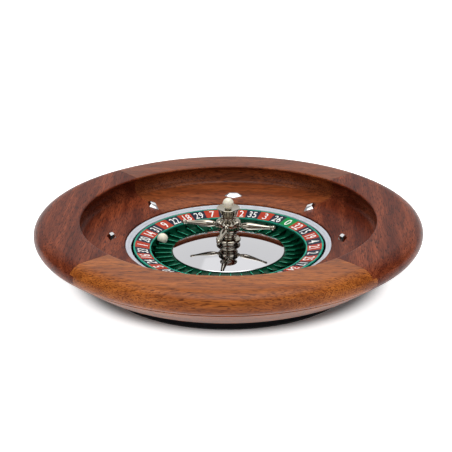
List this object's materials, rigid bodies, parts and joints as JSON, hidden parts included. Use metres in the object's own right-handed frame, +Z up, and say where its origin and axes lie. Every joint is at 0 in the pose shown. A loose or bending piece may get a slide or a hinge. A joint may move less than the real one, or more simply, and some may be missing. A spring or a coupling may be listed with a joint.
{
  "type": "roulette wheel",
  "caption": "Tabletop roulette wheel: a round wooden bowl with a rounded rim and deflectors, and a spinning wheelhead with numbered pockets, a mirrored cone and a four-armed turret.",
  "frame": {"origin": "centre of the bottom face of the pad, on the wheelhead's axis", "axes": "+Z up along the wheelhead's axis, +X to the right and +Y to the back as the picture sees it"},
  "size_m": [0.5, 0.5, 0.1033],
  "materials": {
    "mahogany_light": "clear lacquer over golden-brown mahogany veneer",
    "mahogany_dark": "clear lacquer over reddish-brown mahogany veneer",
    "black_lacquer": "satin black lacquer over board",
    "pad_rubber": "matte non-slip sheet",
    "ring_steel": "satin turned ring",
    "polished_chrome": "mirror polished plate",
    "turret_chrome": "mirror polished plate over turned brass",
    "screw_steel": "zinc plated",
    "spindle_steel": "ground",
    "bearing_steel": "ground and polished",
    "cage_brass": "machined",
    "black_anodised": "black anodised",
    "hub_aluminium": "turned",
    "number_plate": "white primed",
    "red_enamel": "gloss enamel",
    "black_enamel": "gloss enamel",
    "green_enamel": "gloss enamel",
    "turquoise_enamel": "gloss enamel",
    "pocket_green": "satin paint",
    "fret_green": "satin paint",
    "ivory_resin": "polished acetal resin"
  },
  "bodies": {
    "bowl": {"base_pad": "pad_rubber", "plinth": "black_lacquer", "bowl_screws": "screw_steel", "bowl_segment_front": "mahogany_light", "bowl_segment_right": "mahogany_dark", "bowl_segment_back": "mahogany_light", "bowl_segment_left": "mahogany_dark", "apron_ring": "ring_steel", "deflector_1": "polished_chrome", "deflector_2": "polished_chrome", "deflector_3": "polished_chrome", "deflector_4": "polished_chrome", "deflector_5": "polished_chrome", "deflector_6": "polished_chrome", "deflector_7": "polished_chrome", "deflector_8": "polished_chrome", "spindle_flange": "spindle_steel", "flange_screws": "screw_steel", "spindle": "spindle_steel", "race_spacer": "spindle_steel", "spindle_washer": "spindle_steel", "spindle_nut": "screw_steel", "lower_inner_race": "bearing_steel", "upper_inner_race": "bearing_steel"},
    "rotor": {"lower_outer_race": "bearing_steel", "upper_outer_race": "bearing_steel", "rotor_disc": "black_anodised", "hub": "hub_aluminium", "hub_screws": "screw_steel", "number_ring": "number_plate", "red_fields": "red_enamel", "black_fields": "black_enamel", "zero_field": "green_enamel", "outer_hoop": "turquoise_enamel", "inner_hoop": "turquoise_enamel", "pocket_ring": "pocket_green", "pocket_frets": "fret_green", "cone": "polished_chrome", "turret_foot": "turret_chrome", "turret_column": "turret_chrome", "turret_stud": "screw_steel", "arm_hub": "turret_chrome", "turret_arm_1": "turret_chrome", "turret_arm_2": "turret_chrome", "turret_arm_3": "turret_chrome", "turret_arm_4": "turret_chrome", "turret_bell": "turret_chrome", "turret_cup": "turret_chrome"},
    "bearing_cages": {"lower_bearing_balls": "bearing_steel", "upper_bearing_balls": "bearing_steel", "lower_bearing_cage": "cage_brass", "upper_bearing_cage": "cage_brass"},
    "ball": {"ball": "ivory_resin"},
    "spare_ball": {"spare_ball": "ivory_resin"}
  },
  "joints": [
    {"name": "rotor_spin", "type": "hinge", "parent": "bowl", "child": "rotor", "pos_m": [0, 0, 0.02], "axis": [0, 0, 1], "continuous": true},
    {"name": "cage_spin", "type": "hinge", "parent": "bowl", "child": "bearing_cages", "pos_m": [0, 0, 0.02], "axis": [0, 0, 1], "continuous": true},
    {"name": "ball_lift", "type": "slide", "parent": "rotor", "child": "ball", "axis": [0, 0, 1], "range_m": [0, 0.08]},
    {"name": "spare_ball_lift", "type": "slide", "parent": "rotor", "child": "spare_ball", "axis": [0, 0, 1], "range_m": [0, 0.06]}
  ],
  "couplings": [
    {"joint": "cage_spin", "follows": "rotor_spin", "ratio": 0.615}
  ]
}
